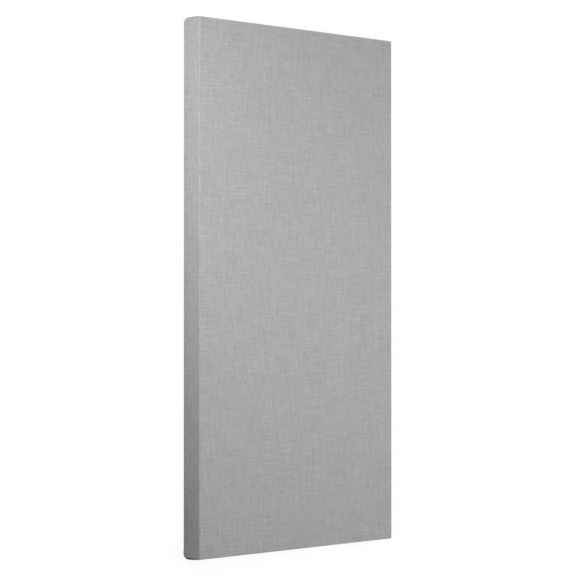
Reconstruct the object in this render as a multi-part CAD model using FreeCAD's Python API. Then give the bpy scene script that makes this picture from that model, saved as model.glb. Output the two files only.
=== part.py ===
"""Fabric acoustic wall panel, lying on its back.

A rigid glass-wool board is wrapped in one piece of woven cloth. The cloth covers the face and the four
edges, and turns over the back as a glued hem round a window where the board is bare. At each corner
the spare cloth is pleated flat on the short end. The pleat starts at the front tip, widens at 45
degrees towards the back, and runs on under the corner of the hem. The panel rests on those four
corners, because the hem is one ply thick everywhere else.

Millimetres. X runs across the panel, Y along it and Z out of its face. The origin is the middle of the
back, on the plane that the four corners rest on.
"""

import FreeCAD
import Part

import os

Vector = FreeCAD.Vector

# Finished sizes over one ply of cloth, which is the whole panel apart from its pleated corners
panel_width = 609.6
panel_length = 1219.2
panel_thickness = 59.0

# Cloth
cloth_thickness = 0.9
hem_width = 50.0

# Board: its edges are crisp, apart from the short ends' back edges, which the pull of the pleats rounds
board_edge_radius = 2.0
board_turn_radius = 8.0

# Pleats: the plies over the first one, how far the outer ply takes to slope down off them, how far in
# from the panel's side their folded edge lies, and how round that edge is
pleat_plies = 2
pleat_slope = 6.0
pleat_inset = 1.5
pleat_fold_radius = 1.2

# Sizes and places that follow
side = panel_width / 2
end = panel_length / 2
wrapped_edge_radius = board_edge_radius + cloth_thickness
wrapped_turn_radius = board_turn_radius + cloth_thickness
pleat_rise = pleat_plies * cloth_thickness
pleat_tip = panel_thickness - wrapped_edge_radius
pleat_width = pleat_tip - pleat_rise
back_of_board = pleat_rise + cloth_thickness
window_width = panel_width - 2 * hem_width
window_length = panel_length - 2 * hem_width
window_corner = Vector(-window_width / 2, -window_length / 2, 0)

# Closer than this, two places are the same
tolerance = 0.001


def edges_where(shape, test):
    """The edges of a shape whose bounding boxes pass a test."""
    return [edge for edge in shape.Edges if test(edge.BoundBox)]


def rounded_slab(width, length, low, high, edge_radius, turn_radius):
    """A slab centred on X and Y, with its ends turned under to the back and its other edges eased."""
    slab = Part.makeBox(width, length, high - low, Vector(-width / 2, -length / 2, low))
    turns = edges_where(slab, lambda box: box.ZMax < low + tolerance and box.YLength < tolerance)
    slab = slab.makeFillet(turn_radius, turns)
    sharp = edges_where(slab, lambda box: box.XLength < tolerance or box.ZMin > high - tolerance)
    return slab.makeFillet(edge_radius, sharp)


def half_space(point, inwards):
    """A block much larger than the panel, on the inwards side of a plane through the point."""
    size = 4 * panel_length
    block = Part.makeBox(size, size, size, Vector(-size / 2, -size / 2, 0))
    block.Placement = FreeCAD.Placement(point, FreeCAD.Rotation(Vector(0, 0, 1), inwards))
    return block


def make_pleat_block(fold):
    """The block that the pleat is cut from, rounded over the panel's back edge and along the fold."""
    outside = end + pleat_rise
    start = end - hem_width
    corner = Vector(fold - pleat_width, start, 0)
    block = Part.makeBox(pleat_width, outside - start, pleat_tip, corner)
    back_edge = edges_where(
        block,
        lambda box: box.YMin > outside - tolerance and box.ZMax < tolerance,
    )
    block = block.makeFillet(wrapped_turn_radius + pleat_rise, back_edge)
    folded_edge = edges_where(
        block,
        lambda box: box.XMin > fold - tolerance
        and box.YMax > start + tolerance
        and box.ZMin < pleat_tip - tolerance,
    )
    return block.makeFillet(pleat_fold_radius, folded_edge)


def make_pleat():
    """The pleat at the +X +Y corner: over the end, round the back edge and on under the hem.

    Its folded edge runs down the corner of the panel. On the other side the outer ply slopes down off
    it, along a line that leaves the front tip at 45 degrees, and then along the end of the hem.
    """
    fold = side - pleat_inset
    across = Vector(1, 0, -1).normalize()
    end_slope = half_space(
        Vector(fold, end, pleat_tip),
        across * pleat_rise - Vector(0, pleat_slope, 0),
    )
    hem_slope = half_space(
        Vector(fold - pleat_width, end, pleat_rise),
        Vector(pleat_rise, 0, pleat_slope),
    )
    return make_pleat_block(fold).common(end_slope).common(hem_slope)


def at_four_corners(shape):
    """The +X +Y corner's shape and its mirror images at the other three."""
    across = shape.mirror(Vector(), Vector(1, 0, 0))
    pair = [shape, across]
    return pair + [one.mirror(Vector(), Vector(0, 1, 0)) for one in pair]


def make_core_board():
    """The glass-wool board, which fills the cloth. The bare part of its back is a face of its own."""
    board = rounded_slab(
        panel_width - 2 * cloth_thickness,
        panel_length - 2 * cloth_thickness,
        back_of_board,
        panel_thickness - cloth_thickness,
        board_edge_radius,
        board_turn_radius,
    )
    bare_part = Part.makePlane(window_width, window_length, window_corner + Vector(0, 0, back_of_board))
    split, _ = board.generalFuse([bare_part])
    return split.Solids[0]


def make_fabric_wrap(board):
    """The cloth: one ply all over, the four pleats, and the window inside the hem."""
    one_ply = rounded_slab(
        panel_width,
        panel_length,
        pleat_rise,
        panel_thickness,
        wrapped_edge_radius,
        wrapped_turn_radius,
    )
    window = Part.makeBox(window_width, window_length, back_of_board, window_corner)
    cloth = one_ply.fuse(at_four_corners(make_pleat())).cut([board, window])
    return cloth.removeSplitter()


def save(name, shape):
    """Checks that the shape is one sound solid, and writes it as parts/NAME.step."""
    if len(shape.Solids) != 1 or not shape.isValid():
        raise ValueError(f"{name} isn't one sound solid")
    solid = shape.Solids[0]
    solid.exportStep(f"parts/{name}.step")
    box = solid.optimalBoundingBox()
    print(f"{name}: {box.XLength:.1f} x {box.YLength:.1f} x {box.ZLength:.1f} mm, from Z {box.ZMin:.2f},")
    print(f"  {solid.Volume / 1e6:.3f} litres, {len(solid.Faces)} faces")


os.makedirs("parts", exist_ok=True)
core_board = make_core_board()
save("core_board", core_board)
save("fabric_wrap", make_fabric_wrap(core_board))
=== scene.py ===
# %% [markdown]
# A fabric acoustic wall panel, lying on its back on a white floor. Inside it is a rigid board of glass
# wool. Round the board goes one cut of woven cloth, pulled tight over the face and the edges, pleated
# at the four corners, and glued down on the back as a hem.
#
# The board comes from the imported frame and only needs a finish. The cloth is what the eye sees, so it is
# made here. First come the camera, the lamps and the floor, then the cloth's folds and the frayed edge
# of its hem, and last the finishes.

import math

import bpy
import numpy as np
from mathutils import Matrix, Vector


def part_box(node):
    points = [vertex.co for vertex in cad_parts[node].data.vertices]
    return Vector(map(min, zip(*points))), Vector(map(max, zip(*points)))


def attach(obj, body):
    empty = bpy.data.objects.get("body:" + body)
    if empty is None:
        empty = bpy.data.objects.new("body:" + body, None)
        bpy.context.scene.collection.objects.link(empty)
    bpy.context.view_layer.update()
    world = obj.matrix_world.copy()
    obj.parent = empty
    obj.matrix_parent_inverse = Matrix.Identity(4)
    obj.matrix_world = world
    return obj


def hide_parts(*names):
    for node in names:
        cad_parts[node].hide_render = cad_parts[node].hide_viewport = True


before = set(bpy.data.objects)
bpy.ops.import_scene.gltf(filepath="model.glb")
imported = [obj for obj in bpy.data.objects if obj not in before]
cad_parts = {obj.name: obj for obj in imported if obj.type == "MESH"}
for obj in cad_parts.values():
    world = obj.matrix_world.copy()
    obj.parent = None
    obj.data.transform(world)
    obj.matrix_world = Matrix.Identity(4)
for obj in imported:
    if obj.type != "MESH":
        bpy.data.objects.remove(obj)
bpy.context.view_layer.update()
millimetre = 0.001

board_low, board_high = (np.array(corner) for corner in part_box("core_board"))
wrap_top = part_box("fabric_wrap")[1].z
ply = wrap_top - board_high[2]
print("the frame has", sorted(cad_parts))
print("the board is", ((board_high - board_low) / millimetre).round(1), "mm")
print(f"the cloth is {ply / millimetre:.2f} mm thick")

# %% [markdown]
# A camera can be moved about until the picture looks right, or its place can be worked out. Here it is
# worked out, because the panel's face is a rectangle twice as long as it is wide: the way its edges
# converge in the photograph gives the lens, and the camera's place with it. The panel stands upright in
# the photograph and lies on its back here, so the same camera looks down on it.

# %% Camera
camera_lens = 120.35
sensor_width = 36.0
camera_turn = math.radians(42.019)
camera_tilt = math.radians(-0.624)
face_from_camera = Vector((0.02802, -0.00141, -4.51618))
face_middle = Vector((0, 0, wrap_top))


def make_camera():
    """A camera from which the face's middle lies at face_from_camera, in the camera's own axes.

    The turn and the tilt carry the panel's axes to the camera's, and their transpose carries them back.
    """
    to_camera = Matrix.Rotation(camera_tilt, 3, "X") @ Matrix.Rotation(camera_turn, 3, "Y")
    from_camera = to_camera.transposed()
    data = bpy.data.cameras.new("camera")
    data.lens = camera_lens
    data.sensor_width = sensor_width
    camera = bpy.data.objects.new("camera", data)
    bpy.context.scene.collection.objects.link(camera)
    place = Matrix.Translation(face_middle - from_camera @ face_from_camera)
    camera.matrix_world = place @ from_camera.to_4x4()
    return camera


bpy.context.scene.camera = make_camera()
print("camera at", [round(c, 2) for c in bpy.context.scene.camera.matrix_world.translation])

# %% [markdown]
# The background, the floor and the finishes are all put together from shader nodes. Each node could be
# added, set and linked line by line, but that hides what the nodes work out. So one helper adds a node
# and fills its sockets, with numbers or with other nodes' results, and a few others do that for the
# kinds of node that come up most.

# %% Helpers for shader nodes
def fill_sockets(tree, node, given):
    """Gives each input socket that is named its value, or links another node's output to it."""
    for name, value in given.items():
        if isinstance(value, bpy.types.NodeSocket):
            tree.links.new(value, node.inputs[name])
        else:
            node.inputs[name].default_value = value


def add_node(tree, kind, given=(), **settings):
    """A node with its settings, and its sockets filled with what is given for them."""
    node = tree.nodes.new(kind)
    for name, value in settings.items():
        setattr(node, name, value)
    fill_sockets(tree, node, dict(given))
    return node


def calculate(tree, operation, *values):
    """The result of a Math node."""
    return add_node(tree, "ShaderNodeMath", enumerate(values), operation=operation).outputs[0]


def ramped(tree, value, low, high, from_value, to_value):
    """The value carried from the range low to high on to another range, and held at its ends."""
    given = {"Value": value, "From Min": low, "From Max": high, "To Min": from_value, "To Max": to_value}
    return add_node(tree, "ShaderNodeMapRange", given).outputs["Result"]


def start_material(name):
    """A material with its tree and its surface node."""
    material = bpy.data.materials.new(name)
    material.use_nodes = True
    return material, material.node_tree, material.node_tree.nodes["Principled BSDF"]


# %% [markdown]
# A studio lights a thing like this with a few large soft lamps. A picture of a studio, wrapped round the
# scene, would light it too, but as if from far away. These lamps are near, and it shows: light that
# comes from near the panel falls off along it. A low lamp stands off the panel's left side, near its
# top end, which is why that side darkens so much towards the bottom. A broad lamp hangs over the right
# side. Two long flat lamps near the floor, off the right-hand corners, light the sides that the
# photograph doesn't show. They are barely higher than the face, so they add next to nothing to it.

# %% Lamps
def add_lamp(name, place, width, height, power):
    """A soft lamp that faces the middle of the panel's face, and that the camera doesn't see."""
    data = bpy.data.lights.new(name, "AREA")
    data.shape = "RECTANGLE"
    data.size = width
    data.size_y = height
    data.energy = power
    lamp = bpy.data.objects.new(name, data)
    bpy.context.scene.collection.objects.link(lamp)
    to_face = face_middle - Vector(place)
    lamp.location = Vector(place)
    lamp.rotation_euler = to_face.to_track_quat("-Z", "Y").to_euler()
    lamp.visible_camera = False
    print(f"{name}: {power} watts, {to_face.length:.2f} m from the middle of the face")


add_lamp("low_lamp", place=(-1.17, 0.56, 0.57), width=0.7, height=0.7, power=10.7)
add_lamp("broad_lamp", place=(0.36, 0.0, 1.78), width=1.4, height=1.4, power=26.3)
add_lamp("upper_fill", place=(1.3, 1.7, 0.08), width=1.4, height=0.1, power=15)
add_lamp("lower_fill", place=(1.3, -1.7, 0.08), width=1.4, height=0.1, power=15)

# %% [markdown]
# The photograph's background is pure white. A bright sky would make it so, but it would light the panel
# from all sides as well. So the sky is white only to the rays that show it: those from the camera, and
# those that a shiny or clear surface passes on. To all others it is nearly black. The Standard view
# shows a strength of 1 as white, and a colour about as it is written.

# %% Sky
sky_strength = 0.01


def seen_directly(tree):
    """1 for a ray from the camera, or for one that a shiny or clear surface passes on, and else 0."""
    rays = add_node(tree, "ShaderNodeLightPath").outputs
    either = calculate(tree, "MAXIMUM", rays["Is Camera Ray"], rays["Is Glossy Ray"])
    return calculate(tree, "MAXIMUM", either, rays["Is Transmission Ray"])


def make_sky():
    """A white world, with a strength of 1 where it is seen directly and of sky_strength elsewhere."""
    world = bpy.data.worlds.new("studio")
    world.use_nodes = True
    tree = world.node_tree
    strength = ramped(tree, seen_directly(tree), 0.0, 1.0, sky_strength, 1.0)
    fill_sockets(tree, tree.nodes["Background"], {"Color": (1, 1, 1, 1), "Strength": strength})
    return world


bpy.context.scene.world = make_sky()
bpy.context.scene.view_settings.view_transform = "Standard"
print(f"the sky's strength is 1 to the camera and {sky_strength} to the panel")

# %% [markdown]
# A floor that is white because it is bright would light the panel from below. So this one is two
# surfaces in one: a plain pale floor that takes the panel's shadow, and a white glow that only direct
# rays see. The plain floor keeps a share of the mix, so that the shadow still shows. Away from the lamps
# the plain floor is darker, so the glow gets stronger with the distance from the panel.

# %% Floor
floor_half = 8.0
floor_grey = 0.55
floor_glow_share = 0.78
near_floor, far_floor = 0.95, 1.9
near_floor_glow, far_floor_glow = 1.19, 1.32


def mesh_from(name, points, face_groups):
    """A mesh object at the origin, from points and from arrays of faces with as many corners each."""
    faces = [face for group in face_groups for face in group.tolist()]
    mesh = bpy.data.meshes.new(name)
    mesh.from_pydata(points.tolist(), [], faces)
    mesh.validate()
    made = bpy.data.objects.new(name, mesh)
    bpy.context.scene.collection.objects.link(made)
    return made


def make_floor_material():
    """A plain pale floor, mixed with a glow that follows the distance from the panel's middle."""
    material, tree, surface = start_material("pale_floor")
    colour = (floor_grey, floor_grey, floor_grey, 1)
    fill_sockets(tree, surface, {"Base Color": colour, "Roughness": 1.0, "Specular IOR Level": 0.0})
    place = add_node(tree, "ShaderNodeTexCoord").outputs["Object"]
    distance = add_node(tree, "ShaderNodeVectorMath", {0: place}, operation="LENGTH").outputs["Value"]
    strength = ramped(tree, distance, near_floor, far_floor, near_floor_glow, far_floor_glow)
    glow = add_node(tree, "ShaderNodeEmission", {"Strength": strength}).outputs[0]
    share = calculate(tree, "MULTIPLY", seen_directly(tree), floor_glow_share)
    mix = add_node(tree, "ShaderNodeMixShader", {0: share, 1: surface.outputs[0], 2: glow}).outputs[0]
    tree.links.new(mix, tree.nodes["Material Output"].inputs["Surface"])
    return material


floor_corners = np.array([(-1, -1, 0), (1, -1, 0), (1, 1, 0), (-1, 1, 0)]) * floor_half
floor = mesh_from("floor", floor_corners, [np.array([(0, 1, 2, 3)])])
floor.data.materials.append(make_floor_material())
print(f"the floor is {2 * floor_half:.0f} m square")

# %% [markdown]
# The cloth could be simulated, but it is pulled tight over a rigid board, so all that a simulation
# would add is ripples that the real panel doesn't have. What matters is how it is folded, and a fold is
# a map: each point of the flat cut goes to one place on the board. So the cut is a grid, and the fold is
# worked out for all its points at once.
#
# Distances on the cut are measured from the face's edges: `a` beyond the long edge and `b` beyond the
# short one. Beyond an edge the cloth goes down the side of the board, and past its depth it comes in
# across the back. Beyond both edges, at a corner, there is cloth to spare. The long side's cloth goes
# on round the corner on to the short end, is folded back on itself along a line at 45 degrees, folded
# again at the corner, and then goes along the short end. So three plies lie on the short end, in a
# triangle that starts at the face's corner and widens towards the back.

# %% Sizes of the fold
hem_width = 50 * millimetre
board_edge_radius = 2 * millimetre
board_turn_radius = 8 * millimetre

# From here on, sizes are those of the cloth's middle surface, which lies half a ply off the board
edge_radius = board_edge_radius + ply / 2
turn_radius = board_turn_radius + ply / 2
half_width = board_high[0] + ply / 2
half_length = board_high[1] + ply / 2
face_height = board_high[2] + ply / 2
depth = face_height - (board_low[2] - ply / 2)
hem = hem_width - ply / 2
cut_size = 2 * np.array([half_width + depth + hem, half_length + depth + hem])
print(f"the cut is {cut_size[0]:.3f} x {cut_size[1]:.3f} m")


def beyond_face(p, q):
    """The distances a, b beyond the face's long and short edge, for flat points p, q."""
    return np.abs(p) - half_width, np.abs(q) - half_length


def smooth_step(x):
    """0 below 0 and 1 above 1, and between them three times the square less twice the cube."""
    x = np.clip(x, 0, 1)
    return x * x * (3 - 2 * x)


# %% [markdown]
# No corner is folded quite like another. The two at the lower end are slacker: their outer ply stands
# off the others between its tip and its back edge. That could be sculpted by hand, but as a height
# that is added to the fold, in plies, it takes only a few numbers for all four.

# %% Slack at the corners
lower_slack, upper_slack = 1.4, 0.1
less_slack = 0.85
slack_start = 12 * millimetre
slack_fade = 26 * millimetre
slack_end = depth + 5 * millimetre
slack_reach = 45 * millimetre


def corner_slack(p, q, a, b):
    """How many plies' height the outer ply stands off, at the corner that a point is near.

    It swells from slack_start beyond the face's edge, is pressed flat again where the cloth turns
    under, and dies away with the distance from the folded edge. At two corners, diagonally across from
    each other, it is multiplied by less_slack.
    """
    most = np.where(q < 0, lower_slack, upper_slack) * np.where(p * q > 0, 1.0, less_slack)
    swell = smooth_step((b - slack_start) / slack_fade)
    pressed = smooth_step((slack_end - b) / (slack_fade / 2))
    return most * (swell * pressed) * smooth_step(1 - np.abs(a) / slack_reach)


# Signs for the lower left, the lower right, the upper left and the upper right quarter
left_or_right, low_or_high = np.array([-1, 1, -1, 1]), np.array([-1, -1, 1, 1])
slack = corner_slack(left_or_right, low_or_high, 0, depth / 2)
print("slack halfway down each corner", slack.round(2), "plies")

# %% [markdown]
# Beside a corner the pull of the pleat also puckers the long side's cloth, near the back. A simulation
# would find puckers of its own, but not at the place where the photograph shows them. So they are a
# height too: two short ridges, strongest at the lower left corner.

# %% Puckers beside the corners
lower_left_pucker, lower_right_pucker, upper_pucker = 0.85, 0.4, 0.12
pucker_length = 36 * millimetre
# How far each ridge is from the side's end, and how wide it is to either side of its crest
pucker_ridges = ((12 * millimetre, 3.2 * millimetre), (3.5 * millimetre, 2.6 * millimetre))


def side_puckers(p, q, a, b):
    """How many plies' height the long side's cloth rises in two short ridges beside a corner.

    Each is a bell curve across, and they run from the back edge towards the face and die away.
    """
    most = np.where(q < 0, np.where(p < 0, lower_left_pucker, lower_right_pucker), upper_pucker)
    from_back = depth - a
    along_ridge = smooth_step((pucker_length - from_back) / (pucker_length / 2))
    under = smooth_step((from_back + turn_radius) / turn_radius)
    ridges = sum(np.exp(-((b + place) / width) ** 2) for place, width in pucker_ridges)
    return most * along_ridge * under * np.where(b < 0, ridges, 0)


crest = -pucker_ridges[0][0]
puckers = side_puckers(left_or_right, low_or_high, depth, crest)
print("puckers at the back edge beside each corner", puckers.round(2), "plies")

# %% [markdown]
# The folded edge should run straight down the panel's corner, a little way in. Done by hand, it wanders.
# Random numbers would make it jagged. Two waves of different lengths are smooth, and because they
# start at another place at each corner, they look unplanned.

# %% The folded edge
fold_inset = 1.3 * millimetre
fold_drift = 0.06
# Each wave's height as a share of fold_inset, and the length in which its phase goes on by 1 radian
slow_wave, slow_length = 0.22, 9 * millimetre
quick_wave, quick_length = 0.12, 4 * millimetre
lower_phase, upper_phase = 1.1, 2.9
left_phase, right_phase = 0.8, 2.0


def fold_wander(p, q, b):
    """The folded edge's distance in from the side.

    It is fold_inset, with two waves along the fold as shares of it, and a drift inwards on the way to
    the hem, of fold_drift times that way.
    """
    phase = np.where(q < 0, lower_phase, upper_phase) + np.where(p < 0, left_phase, right_phase)
    slow = slow_wave * np.sin(b / slow_length + phase)
    quick = quick_wave * np.sin(b / quick_length + 2 * phase)
    return fold_inset * (1 + (slow + quick)) + fold_drift * np.maximum(b, 0)


inset = fold_wander(left_or_right, low_or_high, depth / 2) / millimetre
print("halfway down, the folded edges are", inset.round(2), "mm in")

# %% [markdown]
# Across the pleat there are three plies. The innermost is the long side's cloth. It turns back into the
# middle ply at the 45-degree line, and the middle ply turns round the folded edge into the outer one.
# The two could simply be lifted by one ply and by two, but then the pleat would start with a step that
# tears the cloth. So the plies slide up on each other over a few millimetres, on both sides of the
# 45-degree line, and the whole pleat grows from nothing at its tip.

# %% The pleat's section
slope = 2.8 * millimetre
tip_fade = 26 * millimetre
# How much cloth on either side of the folded edge goes round it
fold_bend = 0.7 * millimetre
# The most that the bend and the folded edge's distance in can be, as shares of the pleat's width
most_bend, most_tuck = 0.3, 0.12
tiny = 1e-9


def pleat_section(p, q, a, b):
    """Distance in from the corner, bulge, level, and the way that the cloth faces, on the short end.

    The pleat is as wide as its drop, up to the board's depth, and a point is in it if it is less than
    that from the folded edge, where a is 0. Where a is positive it is on the middle ply, and else on the
    outer one. Distances in from the corner are squeezed evenly, to make room for the folded edge's own.
    The level, in plies, ramps up smoothly. Round the folded edge it goes from the middle ply's level to
    the outer ply's in half a circle, which bulges outwards by half of what they are apart.
    """
    pleat = np.clip(b, 0, depth)
    in_pleat = np.abs(a) < pleat
    tuck = np.minimum(fold_wander(p, q, b), most_tuck * pleat)
    bend = np.minimum(fold_bend, most_bend * pleat) + tiny
    squeezed = tuck + np.maximum(np.abs(a) - bend, 0) * (pleat - tuck) / np.maximum(pleat - bend, tiny)
    from_corner = np.where(in_pleat, squeezed, np.abs(a))

    inside = pleat - np.abs(a)
    tip = smooth_step(b / tip_fade)
    middle_ply = smooth_step(inside / slope) * tip
    outer_ply = 2 * smooth_step((inside + slope) / (2 * slope)) * tip + corner_slack(p, q, a, b)
    between, apart = (outer_ply + middle_ply) / 2, (outer_ply - middle_ply) / 2

    round_fold = np.clip(a / bend, -1, 1) * math.pi / 2
    bulge = np.where(in_pleat, apart * ply * np.cos(round_fold), 0)
    level = between - apart * np.sin(round_fold)
    facing_out = np.where(in_pleat, -np.sin(round_fold), 1)
    facing_across = np.where(in_pleat, np.cos(round_fold), 0)
    return from_corner, bulge, level, facing_out, facing_across


# %% [markdown]
# The whole fold is worked out on a box with sharp edges first, because there each part of the cloth lies
# on one flat side. A place is then a distance across, a distance along and a drop below the face, and
# the level says how many plies lie under it.

# %% Fold the cloth round a sharp box
def folded_on_box(p, q):
    """Across, along, drop, level, and the way that the cloth faces, for points p, q of the flat cut.

    With a and b the distances beyond the long and the short edge, the cloth belongs to the long side
    where b <= a, and its drop is a; elsewhere it belongs to the short end, and its drop is b. Past the
    board's depth what is left of the distance comes in across the back. Beyond both edges the long
    side's cloth lies b in from the corner, and the short end's lies a in from it, by the pleat's
    section. The long side's level is that of its puckers. Where the innermost ply turns back into the
    middle one, the cloth faces in across the panel.
    """
    a, b = beyond_face(p, q)
    on_side = (a > 0) & (b <= a)
    beyond = np.where(on_side, a, np.maximum(b, 0))
    drop = np.minimum(beyond, depth)
    inwards = np.maximum(beyond - depth, 0)

    from_corner, bulge, end_level, facing_out, facing_across = pleat_section(p, q, a, b)
    side_across = half_width - inwards - np.maximum(b, 0)
    across = np.where(on_side, side_across, half_width - from_corner + bulge)
    end_along = half_length + np.where(b > 0, -inwards, b)
    along = np.where(on_side, half_length + np.minimum(b, 0), end_along)
    level = np.where(on_side, side_puckers(p, q, a, b), end_level)

    turned_back = (a > 0) & np.isclose(a, b)
    facing_out = np.where(turned_back, 0, np.where(on_side, 1, facing_out))
    facing_across = np.where(turned_back, -1, np.where(on_side, 0, facing_across))
    return across, along, drop, level, facing_out, facing_across


outer_ply_p, outer_ply_q = np.array([half_width - depth / 2]), np.array([half_length + depth])
print("at the back edge, the pleat's outer ply is at level", folded_on_box(outer_ply_p, outer_ply_q)[3])

# %% [markdown]
# Rounding comes next. A Bevel modifier rounds the edges of a plain box, but it can't carry several
# plies round one edge together. A map can. Near a rounded edge, a point of the sharp box is a place in
# the square that the edge's arc is drawn in. The square is drawn in to the quarter disc: each of its
# points keeps its direction from the arc's centre, and the square's rim goes to the arc. That is done
# once in the section along the panel, where the back edges have the larger radius, and once across it.

# %% Round the edges of the box
def unit(x, y):
    """The two numbers divided by their length, or zeros where both are zero."""
    length = np.hypot(x, y)
    length = np.where(length > 0, length, 1)
    return x / length, y / length


def rounded(across, along, drop, level, keep_flat):
    """The place and the outward direction, in one quarter, of points given on the sharp box.

    A point at u, v from the centre of an arc goes to u, v times the larger of the two over their
    length. Its depth under the section's outline is then rounded off against the side in the same way.
    keep_flat is 1 where a pleat lies on the corner and the side's rounding doesn't reach it. The level
    is added last, as a height along the outward direction.
    """
    below = drop - depth / 2
    radius = np.where(below > 0, turn_radius, edge_radius)
    u = np.maximum(along - (half_length - radius), 0)
    v = np.maximum(np.abs(below) - (depth / 2 - radius), 0)
    out_along, out_down = unit(u, v)
    out_down = out_down * np.sign(below)
    under = radius - np.maximum(u, v)

    s = np.maximum(across - (half_width - edge_radius), 0)
    t = np.maximum(edge_radius - under, 0)
    length = np.hypot(s, t)
    drawn_in = np.where(length > 0, np.maximum(s, t) / np.where(length > 0, length, 1), 1)
    drawn_in = drawn_in + keep_flat * (1 - drawn_in)
    new_across = np.minimum(across, half_width - edge_radius) + s * drawn_in
    new_under = np.where(t > 0, edge_radius - t * drawn_in, under)

    reach = radius - new_under
    new_along = np.minimum(along, half_length - radius) + reach * out_along
    inner = np.clip(below, radius - depth / 2, depth / 2 - radius)
    new_drop = depth / 2 + inner + reach * out_down

    part_across, part_out = unit(s * (1 - keep_flat), t)
    normal = np.stack([part_across, part_out * out_along, -part_out * out_down], axis=-1)
    place = np.stack([new_across, new_along, face_height - new_drop], axis=-1)
    return place + normal * (level * ply)[..., None], normal


# %% [markdown]
# The two steps together are the fold. Both are worked out in one quarter of the panel, and the other
# quarters are its mirror images, apart from what differs from corner to corner.

# %% Fold the cloth
# How far beyond the face's edge the pleat takes to lie flat on the corner, past the edge's rounding
flat_fade = 6 * millimetre


def fold_cloth(p, q):
    """The place and the outward normal of the cloth's middle surface, for flat points p, q."""
    across, along, drop, level, facing_out, facing_across = folded_on_box(p, q)
    a, b = beyond_face(p, q)
    on_pleat = (b > 0) & (b > a)
    keep_flat = np.where(on_pleat, smooth_step((b - edge_radius) / flat_fade), 0)
    place, normal = rounded(across, along, drop, level, keep_flat)
    sideways = np.array([1.0, 0.0, 0.0])
    normal = normal * facing_out[..., None] + sideways * facing_across[..., None]
    quarter = np.stack([np.where(p < 0, -1, 1), np.where(q < 0, -1, 1), np.ones_like(p)], axis=-1)
    return place * quarter, normal * quarter


hem_place, hem_normal = fold_cloth(np.array([cut_size[0] / 2]), np.array([0.0]))
print("the hem's right edge is at", (hem_place[0] / millimetre).round(1), "mm, facing", hem_normal[0])

# %% [markdown]
# An even grid that is fine enough for the folds would have millions of faces. So its lines are close
# where the cloth bends and wide where it is flat. Beyond the face's edges they are at the same distances
# both ways, so that the 45-degree fold runs from corner to corner of the grid's squares, and those
# squares can be cut in two along it.

# %% Lay out the grid of the flat cut
crease_zone, crease_gap = 0.8 * millimetre, 0.2 * millimetre
bend_zone, bend_gap = edge_radius + 0.35 * millimetre, 0.4 * millimetre
turn_zone, turn_gap = turn_radius + 1.0 * millimetre, 1.35 * millimetre
pucker_zone, pucker_gap = 24 * millimetre, 1.45 * millimetre
calm_zone, calm_gap = 60 * millimetre, 7 * millimetre
side_gap = 1.7 * millimetre
pleat_gap = 2.1 * millimetre
hem_gap = 3.6 * millimetre
face_gap_across, face_gap_along = 16 * millimetre, 20 * millimetre


def stretches(*parts):
    """Lines from 0 on, with each part given as where it ends and the gap between its lines."""
    lines = [np.zeros(1)]
    for stop, gap in parts:
        start = lines[-1][-1]
        count = max(1, round((stop - start) / gap))
        lines.append(np.linspace(start, stop, count + 1)[1:])
    return np.concatenate(lines)


beyond_edge = stretches(
    (crease_zone, crease_gap),
    (bend_zone, bend_gap),
    (depth - turn_zone, side_gap),
    (depth + turn_zone, turn_gap),
    (depth + hem, hem_gap),
)
inside_long_edge = stretches(
    (crease_zone, crease_gap),
    (bend_zone, bend_gap),
    (depth + 2 * slope, pleat_gap),
    (half_width, face_gap_across),
)
inside_short_edge = stretches(
    (bend_zone, bend_gap),
    (pucker_zone, pucker_gap),
    (calm_zone, calm_gap),
    (half_length, face_gap_along),
)


def mirrored_lines(half_size, inside, beyond):
    """Lines over the whole cut, from those on one side of the middle."""
    one_side = half_size + np.concatenate([-inside[:0:-1], beyond])
    return np.concatenate([-one_side[:0:-1], one_side])


p_lines = mirrored_lines(half_width, inside_long_edge, beyond_edge)
q_lines = mirrored_lines(half_length, inside_short_edge, beyond_edge)
print(f"grid of {len(p_lines)} x {len(q_lines)} lines")

# %% [markdown]
# The hem's edge is cut by hand, so it isn't quite straight. A Displace modifier could move it, but only
# after the cloth is folded, where in and out are other directions on each side. On the flat cut it is
# simple: the grid's points near the edge are moved by a wave before they are folded.

# %% The hand-cut edge
cut_wander = 0.45 * millimetre
long_wave, short_wave = 34 * millimetre, 13 * millimetre
short_wave_share = 0.6


def cut_wave(along, phase):
    """A long wave and a lower, shorter one, against the distance along the edge."""
    return np.sin(along / long_wave + phase) + short_wave_share * np.sin(along / short_wave - phase)


def hand_cut(p, q):
    """The flat places p, q, with the hem's cut edge moved in and out by cut_wander times a wave.

    The rest of the hem moves less, by a smooth step from its fold to its cut edge.
    """
    a, b = beyond_face(p, q)
    on_long_hem = np.where(b <= 0, smooth_step((a - depth) / hem), 0)
    on_short_hem = smooth_step((b - depth) / hem)
    moved_p = p + np.sign(p) * on_long_hem * cut_wander * cut_wave(q, np.sign(p))
    moved_q = q + np.sign(q) * on_short_hem * cut_wander * cut_wave(p, 2 + np.sign(q))
    return moved_p, moved_q


p_grid, q_grid = (lines.ravel() for lines in np.meshgrid(p_lines, q_lines, indexing="ij"))
p_cut, q_cut = hand_cut(p_grid, q_grid)
moved = np.hypot(p_cut - p_grid, q_cut - q_grid).max() / millimetre
print(f"the cut edge wanders by up to {moved:.2f} mm")

# %% [markdown]
# At the corners an upholsterer cuts the spare cloth of the hem away, so that no more than three plies
# lie on the back. The same could be done with a Boolean, but on the flat grid it only takes leaving
# faces out. The squares that the 45-degree fold crosses are cut in two along it here as well.

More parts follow.
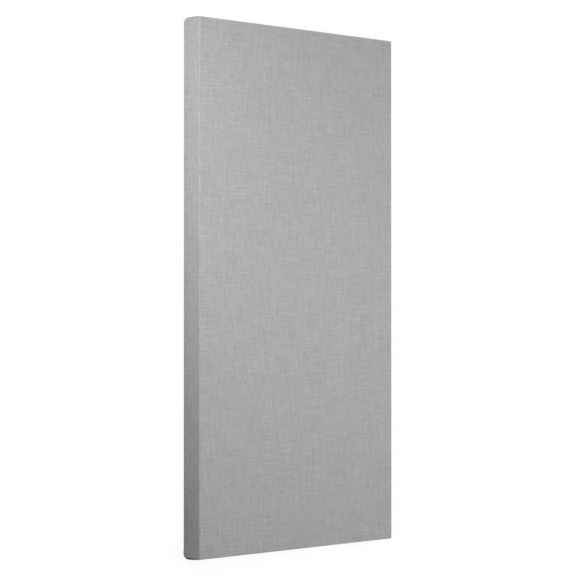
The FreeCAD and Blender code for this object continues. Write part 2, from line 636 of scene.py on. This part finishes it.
# %% Cut the corners away
def cut_faces(p, q, columns, rows):
    """The grid's faces that are kept, as quads, and as triangles along the 45-degree folds."""
    corner = np.arange(columns * rows).reshape(columns, rows)
    quads = np.stack([corner[:-1, :-1], corner[1:, :-1], corner[1:, 1:], corner[:-1, 1:]], axis=-1)
    quads = quads.reshape(-1, 4)
    a, b = beyond_face(p, q)
    middle_a, middle_b = a[quads].mean(axis=1), b[quads].mean(axis=1)
    quads = quads[~((middle_a > depth) & (middle_b > 0))]
    on_fold = (a > -tiny) & np.isclose(a, b, atol=tiny)
    rising = on_fold[quads[:, 0]] & on_fold[quads[:, 2]]
    falling = on_fold[quads[:, 1]] & on_fold[quads[:, 3]]
    triangles = [
        quads[rising][:, [0, 1, 2]],
        quads[rising][:, [0, 2, 3]],
        quads[falling][:, [0, 1, 3]],
        quads[falling][:, [1, 2, 3]],
    ]
    return quads[~(rising | falling)], np.concatenate(triangles)


cut_quads, cut_triangles = cut_faces(p_grid, q_grid, len(p_lines), len(q_lines))
print(f"the cut has {len(cut_quads)} quads, and {len(cut_triangles)} triangles along its folds")

# %% [markdown]
# The folded grid is the cloth's middle surface. A Solidify modifier could give it a thickness, but it
# would take its directions from the faces, and they turn right round within a ply at the folds. The fold
# already says which way the cloth faces at each point. So one layer of points goes half a ply out, one
# goes half a ply in, and a narrow rim joins them along the cut edge.

# %% Make the cloth's mesh
# Each layer lies a hair short of half a ply out, so that plies that lie on each other don't touch
ply_clearance = 0.02 * millimetre
cloth_half_gauge = ply / 2 - ply_clearance
sharp_angle = math.radians(50)


def open_edges(quads, triangles):
    """The directed edges that only one face has, which run along the cut edge of the cloth."""
    edges = [quads[:, [i, (i + 1) % 4]] for i in range(4)]
    edges += [triangles[:, [i, (i + 1) % 3]] for i in range(3)]
    edges = np.concatenate(edges)
    base = edges.max() + 1
    forward = edges[:, 0] * base + edges[:, 1]
    backward = edges[:, 1] * base + edges[:, 0]
    return edges[~np.isin(forward, backward)]


def make_cloth(p, q, quads, triangles):
    """The folded cloth as a closed sheet, the flat place of each of its points, and its rim's faces.

    The outer layer's points come first, then those of the inner layer, in the same order. Points that
    no face uses are left out.
    """
    place, normal = fold_cloth(p, q)
    used, position = np.unique(np.concatenate([quads.ravel(), triangles.ravel()]), return_inverse=True)
    quads, triangles = position[:quads.size].reshape(-1, 4), position[quads.size:].reshape(-1, 3)
    place, normal, count = place[used], normal[used], len(used)

    rim = open_edges(quads, triangles)
    rim = np.stack([rim[:, 1], rim[:, 0], rim[:, 0] + count, rim[:, 1] + count], axis=-1)
    points = np.concatenate([place + normal * cloth_half_gauge, place - normal * cloth_half_gauge])
    groups = [quads, triangles, quads[:, ::-1] + count, triangles[:, ::-1] + count, rim]
    cloth = mesh_from("wrapped_cloth", points, groups)
    flat = np.stack([p[used], q[used]], axis=-1)
    return cloth, np.concatenate([flat, flat]), rim


cloth, cloth_flat, cloth_rim = make_cloth(p_cut, q_cut, cut_quads, cut_triangles)
cloth.data.shade_smooth()
cloth.data.set_sharp_from_angle(angle=sharp_angle)
cloth.data.calc_loop_triangles()
print(f"cloth: {len(cloth.data.vertices)} points, {len(cloth.data.loop_triangles)} triangles")

# %% [markdown]
# Two maps go on the cloth. Blender could unwrap it, but the place of each point on the flat cut is
# known, so there is nothing to unwrap. `flat_cut` is that place in metres, and the weave is drawn on
# it, so that the threads turn and fold with the cloth. `OFBake` is for an exported picture of the
# cloth: the outer layer fills most of the square, the hidden inner layer is squeezed into a strip
# beside it, and the narrow rim lies just outside the outer layer.

# %% Map the cloth
outer_corner, outer_share = np.array([0.01, 0.01]), np.array([0.89, 0.98])
inner_corner, inner_share = np.array([0.92, 0.01]), np.array([0.07, 0.98])


def set_map(mesh, name, places, last_places=None):
    """A UV map on a mesh, from one place for each of its points.

    last_places are for the corners of the mesh's last faces, one for each, in place of their points'.
    """
    corner_points = np.empty(len(mesh.loops), dtype=np.int32)
    mesh.loops.foreach_get("vertex_index", corner_points)
    corner_places = places[corner_points]
    if last_places is not None:
        corner_places[-len(last_places):] = last_places
    layer = mesh.uv_layers.new(name=name)
    layer.uv.foreach_set("vector", corner_places.astype(np.float32).ravel())


def baking_places(flat, rim):
    """Places in the unit square for the cloth's points, and for the corners of its rim."""
    share = flat / cut_size + 0.5
    outer = outer_corner + share * outer_share
    inner = inner_corner + share * inner_share
    half = len(flat) // 2
    places = np.where((np.arange(len(flat)) < half)[:, None], outer, inner)
    outwards = np.where(rim >= half, ply, 0)[..., None] * np.sign(flat[rim])
    rim_places = outer[rim] + outwards / cut_size * outer_share
    return places, rim_places.reshape(-1, 2)


set_map(cloth.data, "flat_cut", cloth_flat)
set_map(cloth.data, "OFBake", *baking_places(cloth_flat, cloth_rim))
print("maps", [layer.name for layer in cloth.data.uv_layers])

# %% [markdown]
# The hem is cut and not sewn, so the threads that end there work loose. Blender's hair could grow them,
# but on the flat cut a loose end is only a short line, which sets out from the cut edge and leans to
# one side. Most of them are short, and a few are long.

# %% Lay out the loose ends
fray_spacing = 1.7 * millimetre
fray_longest = 5 * millimetre
fray_root = 1.5 * millimetre
# The two numbers of the beta curve that shares out how much of fray_longest the yarns reach
fray_shares = (1.3, 2.6)
fray_lean = 0.35
fray_rings = 5
half_cut_width, half_cut_length = cut_size / 2
chance = np.random.default_rng(24)


def frayed_centres(half_cut, half_window, lengthwise):
    """The centre lines of the yarns that end along two opposite cut edges, as flat places p, q.

    half_cut is how far the cut edges are from the middle, half_window is half of their length that
    shows, and lengthwise says whether the yarns run along the panel. A yarn leans further to its side
    the further out it is, by the square of its share of the way.
    """
    count = int(4 * half_window / fray_spacing)
    side = np.where(np.arange(count) % 2 == 0, -1, 1)
    start = chance.uniform(-half_window, half_window, count)
    reach = fray_longest * chance.beta(*fray_shares, count)
    drift = reach * chance.normal(0, fray_lean, count)
    step = np.linspace(0, 1, fray_rings)
    outwards = half_cut - fray_root + (fray_root + reach[:, None]) * step
    sideways = start[:, None] + drift[:, None] * step ** 2
    outwards = side[:, None] * outwards
    return (sideways, outwards) if lengthwise else (outwards, sideways)


across_lines = frayed_centres(half_cut_width, half_length - hem_width, lengthwise=False)
along_lines = frayed_centres(half_cut_length, half_width - hem_width, lengthwise=True)
print(f"{len(across_lines[0])} loose ends across the panel, {len(along_lines[0])} along it")

# %% [markdown]
# A thread this short only needs a thin tube of a few faces. Its line is folded by the cloth's own map,
# so it lies flat on the board past the hem, or stands off it a little. All the tubes are made at once,
# as one array of yarns by rings by corners.

# %% Fray the hem
fray_sides = 4
fray_radius = 0.17 * millimetre
fray_thinnest = 0.6
fray_taper = 0.7
fray_lift_mm = (-0.25, 0.2)


def make_fray(p, q):
    """The loose ends along the flat lines p, q as one mesh, with a ring of points round each place.

    A line rises to its own lift by the square of its share of the way, and its tube gets thinner by
    fray_taper times the cube.
    """
    line, normal = fold_cloth(p, q)
    step = np.linspace(0, 1, fray_rings)
    lift = chance.uniform(*fray_lift_mm, len(p)) * millimetre
    line = line + normal * (lift[:, None] * step ** 2)[..., None]
    ahead = np.gradient(line, axis=1)
    ahead = ahead / np.linalg.norm(ahead, axis=-1, keepdims=True)
    beside = np.cross(ahead, normal)
    angle = np.arange(fray_sides) * 2 * math.pi / fray_sides
    root_radius = fray_radius * chance.uniform(fray_thinnest, 1.0, len(p))
    radius = root_radius[:, None] * (1 - fray_taper * step ** 3)
    around = np.cos(angle)[:, None] * normal[:, :, None] + np.sin(angle)[:, None] * beside[:, :, None]
    points = line[:, :, None] + around * radius[:, :, None, None]

    index = np.arange(len(p) * fray_rings * fray_sides).reshape(len(p), fray_rings, fray_sides)
    onward = np.roll(index, -1, axis=2)
    walls = np.stack([index[:, :-1], onward[:, :-1], onward[:, 1:], index[:, 1:]], axis=-1)
    ends = np.concatenate([index[:, 0, ::-1], index[:, -1]])
    return mesh_from("hem_fray", points.reshape(-1, 3), [walls.reshape(-1, 4), ends])


fray = make_fray(*(np.concatenate(pair) for pair in zip(across_lines, along_lines)))
fray.data.shade_smooth()
print(f"fray: {len(fray.data.polygons)} faces")

# %% [markdown]
# Now the finishes. Effects such as a weave or a streaky yarn are node groups: each is built once, with
# named inputs and outputs, and placed in every material that needs it. The alternative, the same nodes
# again in each material, would be longer, and a change would have to be made in each of them.

# %% Helpers for node groups and materials
number, vector = "NodeSocketFloat", "NodeSocketVector"


def new_group(name, inputs, outputs):
    """An empty node group, with its input sockets' values and the node that takes its results."""
    tree = bpy.data.node_groups.new(name, "ShaderNodeTree")
    for socket, kind in inputs.items():
        tree.interface.new_socket(name=socket, in_out="INPUT", socket_type=kind)
    for socket, kind in outputs.items():
        tree.interface.new_socket(name=socket, in_out="OUTPUT", socket_type=kind)
    values = tree.nodes.new("NodeGroupInput").outputs
    results = tree.nodes.new("NodeGroupOutput").inputs
    return tree, values, results


def add_group(tree, group, **given):
    """The outputs of a group. Underscores stand for the spaces in its sockets' names."""
    given = {name.replace("_", " "): value for name, value in given.items()}
    return add_node(tree, "ShaderNodeGroup", given, node_tree=group).outputs


def mixed(tree, share, first, second, blend_type="MIX"):
    """A mix of two colours."""
    given = {0: share, 6: first, 7: second}
    node = add_node(tree, "ShaderNodeMix", given, data_type="RGBA", blend_type=blend_type)
    return node.outputs[2]


def chosen_number(tree, share, first, second):
    """The first number where share is 0, and the second where it is 1."""
    return add_node(tree, "ShaderNodeMix", {0: share, 2: first, 3: second}).outputs[0]


def noise(tree, place, scale, detail):
    """The outputs of smooth noise. Its largest lumps are about 1 / scale metres apart."""
    given = {"Vector": place, "Scale": scale, "Detail": detail}
    return add_node(tree, "ShaderNodeTexNoise", given).outputs


def bumped(tree, height, distance):
    """The normal of a surface that rises by distance where height is 1."""
    return add_node(tree, "ShaderNodeBump", {"Height": height, "Distance": distance}).outputs[0]


# %% [markdown]
# The cloth is a plain weave: each thread goes over one crossing thread and under the next. A picture of
# cloth could be laid over the panel, but it would repeat and blur up close, and threads that are worked
# out don't. In thread widths, a thread's crown is half a cosine across it. Along it, the thread rises to
# its full height where it is on top and dips to nothing where it is below, again as a cosine. The
# higher of the two threads is the one that shows. The group also says where on that thread a point is,
# as the place of the thread's middle line and the distance along it, so that each thread can have a
# look of its own.

# %% Plain weave
def make_weave():
    """The weave's height, and the place of a point on the thread that shows there.

    Across is the place of that thread's middle line, Along is the distance along it, and Lengthwise
    is 1 where the thread runs along the panel and 0 where it runs across it.
    """
    inputs = {"Place": vector, "Thread Gap": number}
    outputs = dict.fromkeys(("Height", "Across", "Along", "Lengthwise"), number)
    tree, given, results = new_group("plain_weave", inputs, outputs)
    place = add_node(tree, "ShaderNodeSeparateXYZ", {0: given["Place"]}).outputs
    crowns, counts, middles = [], [], []
    for axis in ("X", "Y"):
        threads = calculate(tree, "DIVIDE", place[axis], given["Thread Gap"])
        off_middle = calculate(tree, "SUBTRACT", calculate(tree, "FRACT", threads), 0.5)
        crowns.append(calculate(tree, "COSINE", calculate(tree, "MULTIPLY", off_middle, math.pi)))
        counts.append(calculate(tree, "FLOOR", threads))
        middles.append(calculate(tree, "MULTIPLY", counts[-1], given["Thread Gap"]))
    crossing = calculate(tree, "FLOORED_MODULO", calculate(tree, "ADD", *counts), 2.0)
    over = calculate(tree, "MULTIPLY_ADD", crossing, -1.0, 0.5)
    rise = calculate(tree, "MULTIPLY_ADD", over, crowns[1], 0.5)
    lengthwise = calculate(tree, "MULTIPLY", crowns[0], rise)
    dip = calculate(tree, "MULTIPLY_ADD", calculate(tree, "MULTIPLY", over, -1.0), crowns[0], 0.5)
    crosswise = calculate(tree, "MULTIPLY", crowns[1], dip)
    shows = calculate(tree, "GREATER_THAN", lengthwise, crosswise)
    chosen = {
        "Height": calculate(tree, "MAXIMUM", lengthwise, crosswise),
        "Across": chosen_number(tree, shows, middles[1], middles[0]),
        "Along": chosen_number(tree, shows, place["X"], place["Y"]),
        "Lengthwise": shows,
    }
    for name, value in chosen.items():
        tree.links.new(value, results[name])
    return tree


plain_weave = make_weave()
print(f"plain_weave has {len(plain_weave.nodes)} nodes")

# %% [markdown]
# The yarn is uneven, as linen yarn is. Where it is thick and pale, or thin and dark, the cloth has a
# short streak, a few threads wide and a few centimetres long. It has streaks both ways, because both
# sets of threads have them. Plain noise would make clouds, so the noise is squeezed across the threads
# and stretched along them. Here and there a knot in the yarn makes a small dark speck. A Voronoi texture
# gives the knots, because it shares the cloth out in cells, each with its own middle and its own luck.

# %% Slubs and knots
def make_slubs():
    """Streaks about 0.5: noise with the place divided by the streak's width and length.

    The noise adds up waves, each half as wide as the one before and Fineness times as strong.
    """
    inputs = dict.fromkeys(("Across", "Along", "Width", "Length", "Fineness", "Seed"), number)
    tree, given, results = new_group("slubs", inputs, {"Streak": number})
    across = calculate(tree, "DIVIDE", given["Across"], given["Width"])
    along = calculate(tree, "DIVIDE", given["Along"], given["Length"])
    squeezed = add_node(tree, "ShaderNodeCombineXYZ", {"X": across, "Y": along, "Z": given["Seed"]})
    look = {"Vector": squeezed.outputs[0], "Scale": 1.0, "Detail": 3.0, "Roughness": given["Fineness"]}
    streak = add_node(tree, "ShaderNodeTexNoise", look).outputs[0]
    tree.links.new(streak, results["Streak"])
    return tree


def make_knots():
    """1 at the middle of a knot and 0 away from it. Only a share of the cells hold one."""
    inputs = {"Place": vector, "Spacing": number, "Knot Size": number, "Share": number}
    tree, given, results = new_group("knots", inputs, {"Knot": number})
    scale = calculate(tree, "DIVIDE", 1.0, given["Spacing"])
    cells = add_node(tree, "ShaderNodeTexVoronoi", {"Vector": given["Place"], "Scale": scale})
    size = calculate(tree, "DIVIDE", given["Knot Size"], given["Spacing"])
    nearness = ramped(tree, cells.outputs["Distance"], size, 0.0, 0.0, 1.0)
    draw = add_node(tree, "ShaderNodeSeparateXYZ", {0: cells.outputs["Color"]}).outputs["X"]
    chosen = calculate(tree, "LESS_THAN", draw, given["Share"])
    tree.links.new(calculate(tree, "MULTIPLY", nearness, chosen), results["Knot"])
    return tree


slubs = make_slubs()
knots = make_knots()
print(f"slubs has {len(slubs.nodes)} nodes, and knots has {len(knots.nodes)}")

# %% [markdown]
# The cloth is one light warm grey, and what makes it look woven is how the shade changes. Thick yarn is
# a little paler than thin yarn, the crosswise yarn is a shade darker than the lengthwise yarn, knots
# are darker still, and fine noise stands for the hairs. Each could mix in a colour of its own, but as
# one grey near 1 that multiplies the colour, they leave its warmth as it is.

# %% The cloth's streaks and shade
# Each streak's width and length
lengthwise_slub = (4.3 * millimetre, 32 * millimetre)
crosswise_slub = (3.2 * millimetre, 80 * millimetre)
slub_fineness = 0.9
slub_range, slub_contrast = (0.2, 0.8), 0.36
lengthwise_seed = 5.5
lengthwise_paler = 0.03
knot_spacing, knot_size, knot_share = 20 * millimetre, 2 * millimetre, 0.4
knot_darkness = 0.14
hair_range, hair_contrast = (0.3, 0.7), 0.08


def thread_streak(tree, weave):
    """The streak of the thread that shows, with its own set's width, length and seed."""
    lengthwise = weave["Lengthwise"]
    return add_group(
        tree,
        slubs,
        Across=weave["Across"],
        Along=weave["Along"],
        Width=chosen_number(tree, lengthwise, crosswise_slub[0], lengthwise_slub[0]),
        Length=chosen_number(tree, lengthwise, crosswise_slub[1], lengthwise_slub[1]),
        Fineness=slub_fineness,
        Seed=calculate(tree, "MULTIPLY", lengthwise, lengthwise_seed),
    )["Streak"]


def cloth_shade(tree, place, weave, streak, hairs):
    """A grey about 1 to multiply the colour by: streak, knots and direction together, times hairs."""
    knot = add_group(
        tree,
        knots,
        Place=place,
        Spacing=knot_spacing,
        Knot_Size=knot_size,
        Share=knot_share,
    )["Knot"]
    paler = ramped(tree, streak, *slub_range, 1 - slub_contrast, 1 + slub_contrast)
    paler = calculate(tree, "MULTIPLY_ADD", knot, -knot_darkness, paler)
    paler = calculate(tree, "MULTIPLY_ADD", weave["Lengthwise"], lengthwise_paler, paler)
    fuzz = ramped(tree, hairs, *hair_range, 1 - hair_contrast, 1 + hair_contrast)
    paler = calculate(tree, "MULTIPLY", paler, fuzz)
    grey = {"Red": paler, "Green": paler, "Blue": paler}
    return add_node(tree, "ShaderNodeCombineColor", grey).outputs[0]


print(f"streaks lighten and darken the cloth by up to {slub_contrast:.0%}")

# %% [markdown]
# The gaps between the threads are painted darker, as painted shade, and are rougher than the crowns.
# The threads could be real geometry, but they cross about two million times. So the weave's height, with
# the streaks and the hairs on it, raises and lowers the surface in a Bump node, and the light catches the
# threads.

# %% Woven cloth
thread_gap = 0.75 * millimetre
hair_scale = 4200.0
cloth_colour = (0.536, 0.5285, 0.515, 1)
# A darker grey painted into the gaps between the threads as their shade
gap_shade_colour = (0.335, 0.3305, 0.322, 1)
# The weave's height below which the gaps' painted shade is full, and above which the thread's colour is
thread_edge = (0.15, 0.75)
gap_roughness, crown_roughness = 0.97, 0.86
# The surface's height where the weave's is 1, and what the streaks and the hairs add as shares of it
cloth_relief = 0.12 * millimetre
slub_relief, hair_relief = 0.8, 0.35


def make_cloth_material():
    """Grey woven cloth, drawn on the map of the flat cut."""
    material, tree, surface = start_material("grey_woven_cloth")
    place = add_node(tree, "ShaderNodeUVMap", uv_map="flat_cut").outputs[0]
    weave = add_group(tree, plain_weave, Place=place, Thread_Gap=thread_gap)
    streak = thread_streak(tree, weave)
    hairs = noise(tree, place, hair_scale, detail=2.0)[0]

    # The gaps between the threads get a darker grey as painted shade, and the crowns the cloth's colour
    threads = ramped(tree, weave["Height"], *thread_edge, 0.0, 1.0)
    colour = mixed(tree, threads, gap_shade_colour, cloth_colour)
    shade = cloth_shade(tree, place, weave, streak, hairs)
    height = calculate(tree, "MULTIPLY_ADD", streak, slub_relief, weave["Height"])
    height = calculate(tree, "MULTIPLY_ADD", hairs, hair_relief, height)
    look = {
        "Base Color": mixed(tree, 1.0, colour, shade, "MULTIPLY"),
        "Roughness": ramped(tree, weave["Height"], 0.0, 1.0, gap_roughness, crown_roughness),
        "Specular IOR Level": 0.25,
        "Sheen Weight": 0.04,
        "Sheen Roughness": 0.6,
        "Normal": bumped(tree, height, cloth_relief),
    }
    fill_sockets(tree, surface, look)
    return material


cloth.data.materials.append(make_cloth_material())
print("the cloth has", [material.name for material in cloth.data.materials])

# %% [markdown]
# The loose ends are the same yarn. They could share the cloth's material, but its weave is drawn on the
# map of the flat cut, and a single yarn has no weave. So they get a plainer one, in the cloth's grey and
# the darker grey of its painted gap shade, mixed by noise that stands for the twist of the yarn.

# %% Loose yarn
yarn_scale = 900.0
twist_range = (0.35, 0.65)
least_cloth_colour = 0.45
yarn_relief = 0.04 * millimetre


def make_yarn_material():
    """The darker grey of the gaps' painted shade mixed with the cloth's grey, by noise, so that the yarn
    looks twisted.
    """
    material, tree, surface = start_material("loose_grey_yarn")
    place = add_node(tree, "ShaderNodeTexCoord").outputs["Object"]
    uneven = noise(tree, place, yarn_scale, detail=2.0)[0]
    twist = ramped(tree, uneven, *twist_range, least_cloth_colour, 1.0)
    look = {
        # Its darker grey is the one painted as shade in the weave's gaps
        "Base Color": mixed(tree, twist, gap_shade_colour, cloth_colour),
        "Roughness": 0.92,
        "Specular IOR Level": 0.25,
        "Normal": bumped(tree, uneven, yarn_relief),
    }
    fill_sockets(tree, surface, look)
    return material


fray.data.materials.append(make_yarn_material())
print("the loose ends have", [material.name for material in fray.data.materials])

# %% [markdown]
# The board shows through the window in the hem. It is glass wool: fine glass fibres, laid every way in
# the plane of the board and bonded with a yellow resin. Real fibres would be millions of curves for a
# side that faces the wall. So three sets of streaks at three angles, from the group that makes the
# cloth's slubs, stand for the fibres that lie on top. They are bent by shifting the place with smooth
# noise.

# %% Glass fibres
fibre_angles = (0.35, 1.45, 2.5)
fibre_width, fibre_length = 0.33 * millimetre, 9 * millimetre
fibre_fineness = 0.65
fibre_bend, bend_scale = 5 * millimetre, 110.0


def wool_fibres(tree, place):
    """The highest of three sets of streaks, each drawn on the place turned by its own angle."""
    shift = noise(tree, place, bend_scale, detail=1.0)["Color"]
    given = {0: shift, 1: (fibre_bend,) * 3, 2: place}
    bent = add_node(tree, "ShaderNodeVectorMath", given, operation="MULTIPLY_ADD").outputs[0]
    layers = []
    for turn in fibre_angles:
        turned = add_node(tree, "ShaderNodeMapping", {"Vector": bent, "Rotation": (0.0, 0.0, turn)})
        place_turned = add_node(tree, "ShaderNodeSeparateXYZ", {0: turned.outputs[0]}).outputs
        streak = add_group(
            tree,
            slubs,
            Across=place_turned["X"],
            Along=place_turned["Y"],
            Width=fibre_width,
            Length=fibre_length,
            Fineness=fibre_fineness,
            Seed=turn,
        )
        layers.append(streak["Streak"])
    return calculate(tree, "MAXIMUM", calculate(tree, "MAXIMUM", *layers[:2]), layers[2])


print("fibres at", [round(math.degrees(angle)) for angle in fibre_angles], "degrees")

# %% [markdown]
# Glass is nearly white and the resin is brown, so the wool's yellow is a mix that changes from place to
# place. One colour would look like paint. Slow noise makes the patches with more or less resin, and the
# topmost fibres are paler and smoother than what lies between them.

# %% Glass wool
wool_colour = (0.62, 0.52, 0.26, 1)
resin_colour = (0.47, 0.33, 0.12, 1)
fibre_colour = (0.80, 0.74, 0.52, 1)
patch_scale = 22.0
resin_range, most_resin = (0.42, 0.68), 0.75
fibre_range, most_fibre = (0.56, 0.72), 0.8
# Over this range of the fibres' height, the roughness goes from the resin's to a fibre's
gloss_range = (0.5, 0.75)
resin_roughness, fibre_roughness = 0.95, 0.7
# The surface's height where a fibre's is 1, and what the patches add as a share of it
wool_relief = 0.6 * millimetre
patch_relief = 1.5


def make_wool_material():
    """Yellow glass wool, drawn on the board's own place in metres."""
    material, tree, surface = start_material("yellow_glass_wool")
    place = add_node(tree, "ShaderNodeTexCoord").outputs["Object"]
    fibres = wool_fibres(tree, place)
    patches = noise(tree, place, patch_scale, detail=5.0)[0]
    resin = ramped(tree, patches, *resin_range, 0.0, most_resin)
    colour = mixed(tree, resin, wool_colour, resin_colour)
    pale = ramped(tree, fibres, *fibre_range, 0.0, most_fibre)
    height = calculate(tree, "MULTIPLY_ADD", patches, patch_relief, fibres)
    look = {
        "Base Color": mixed(tree, pale, colour, fibre_colour),
        "Roughness": ramped(tree, fibres, *gloss_range, resin_roughness, fibre_roughness),
        "Specular IOR Level": 0.3,
        "Normal": bumped(tree, height, wool_relief),
    }
    fill_sockets(tree, surface, look)
    return material


board = bpy.data.objects["core_board"]
board.data.materials.clear()
board.data.materials.append(make_wool_material())
print("the board has", [material.name for material in board.data.materials])

# %% [markdown]
# Each piece is then attached to the body that it moves with, and the frame's own cloth is hidden. The
# cloth's area is worked out from the size it was cut to, less the four corner pieces of the hem that are
# cut away.

for piece in (cloth, fray):
    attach(piece, "root")
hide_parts("fabric_wrap")

cut_away = 4 * hem * (depth + hem)
cloth_area = cut_size.prod() - cut_away
print(f"{cloth_area:.3f} square metres of cloth")
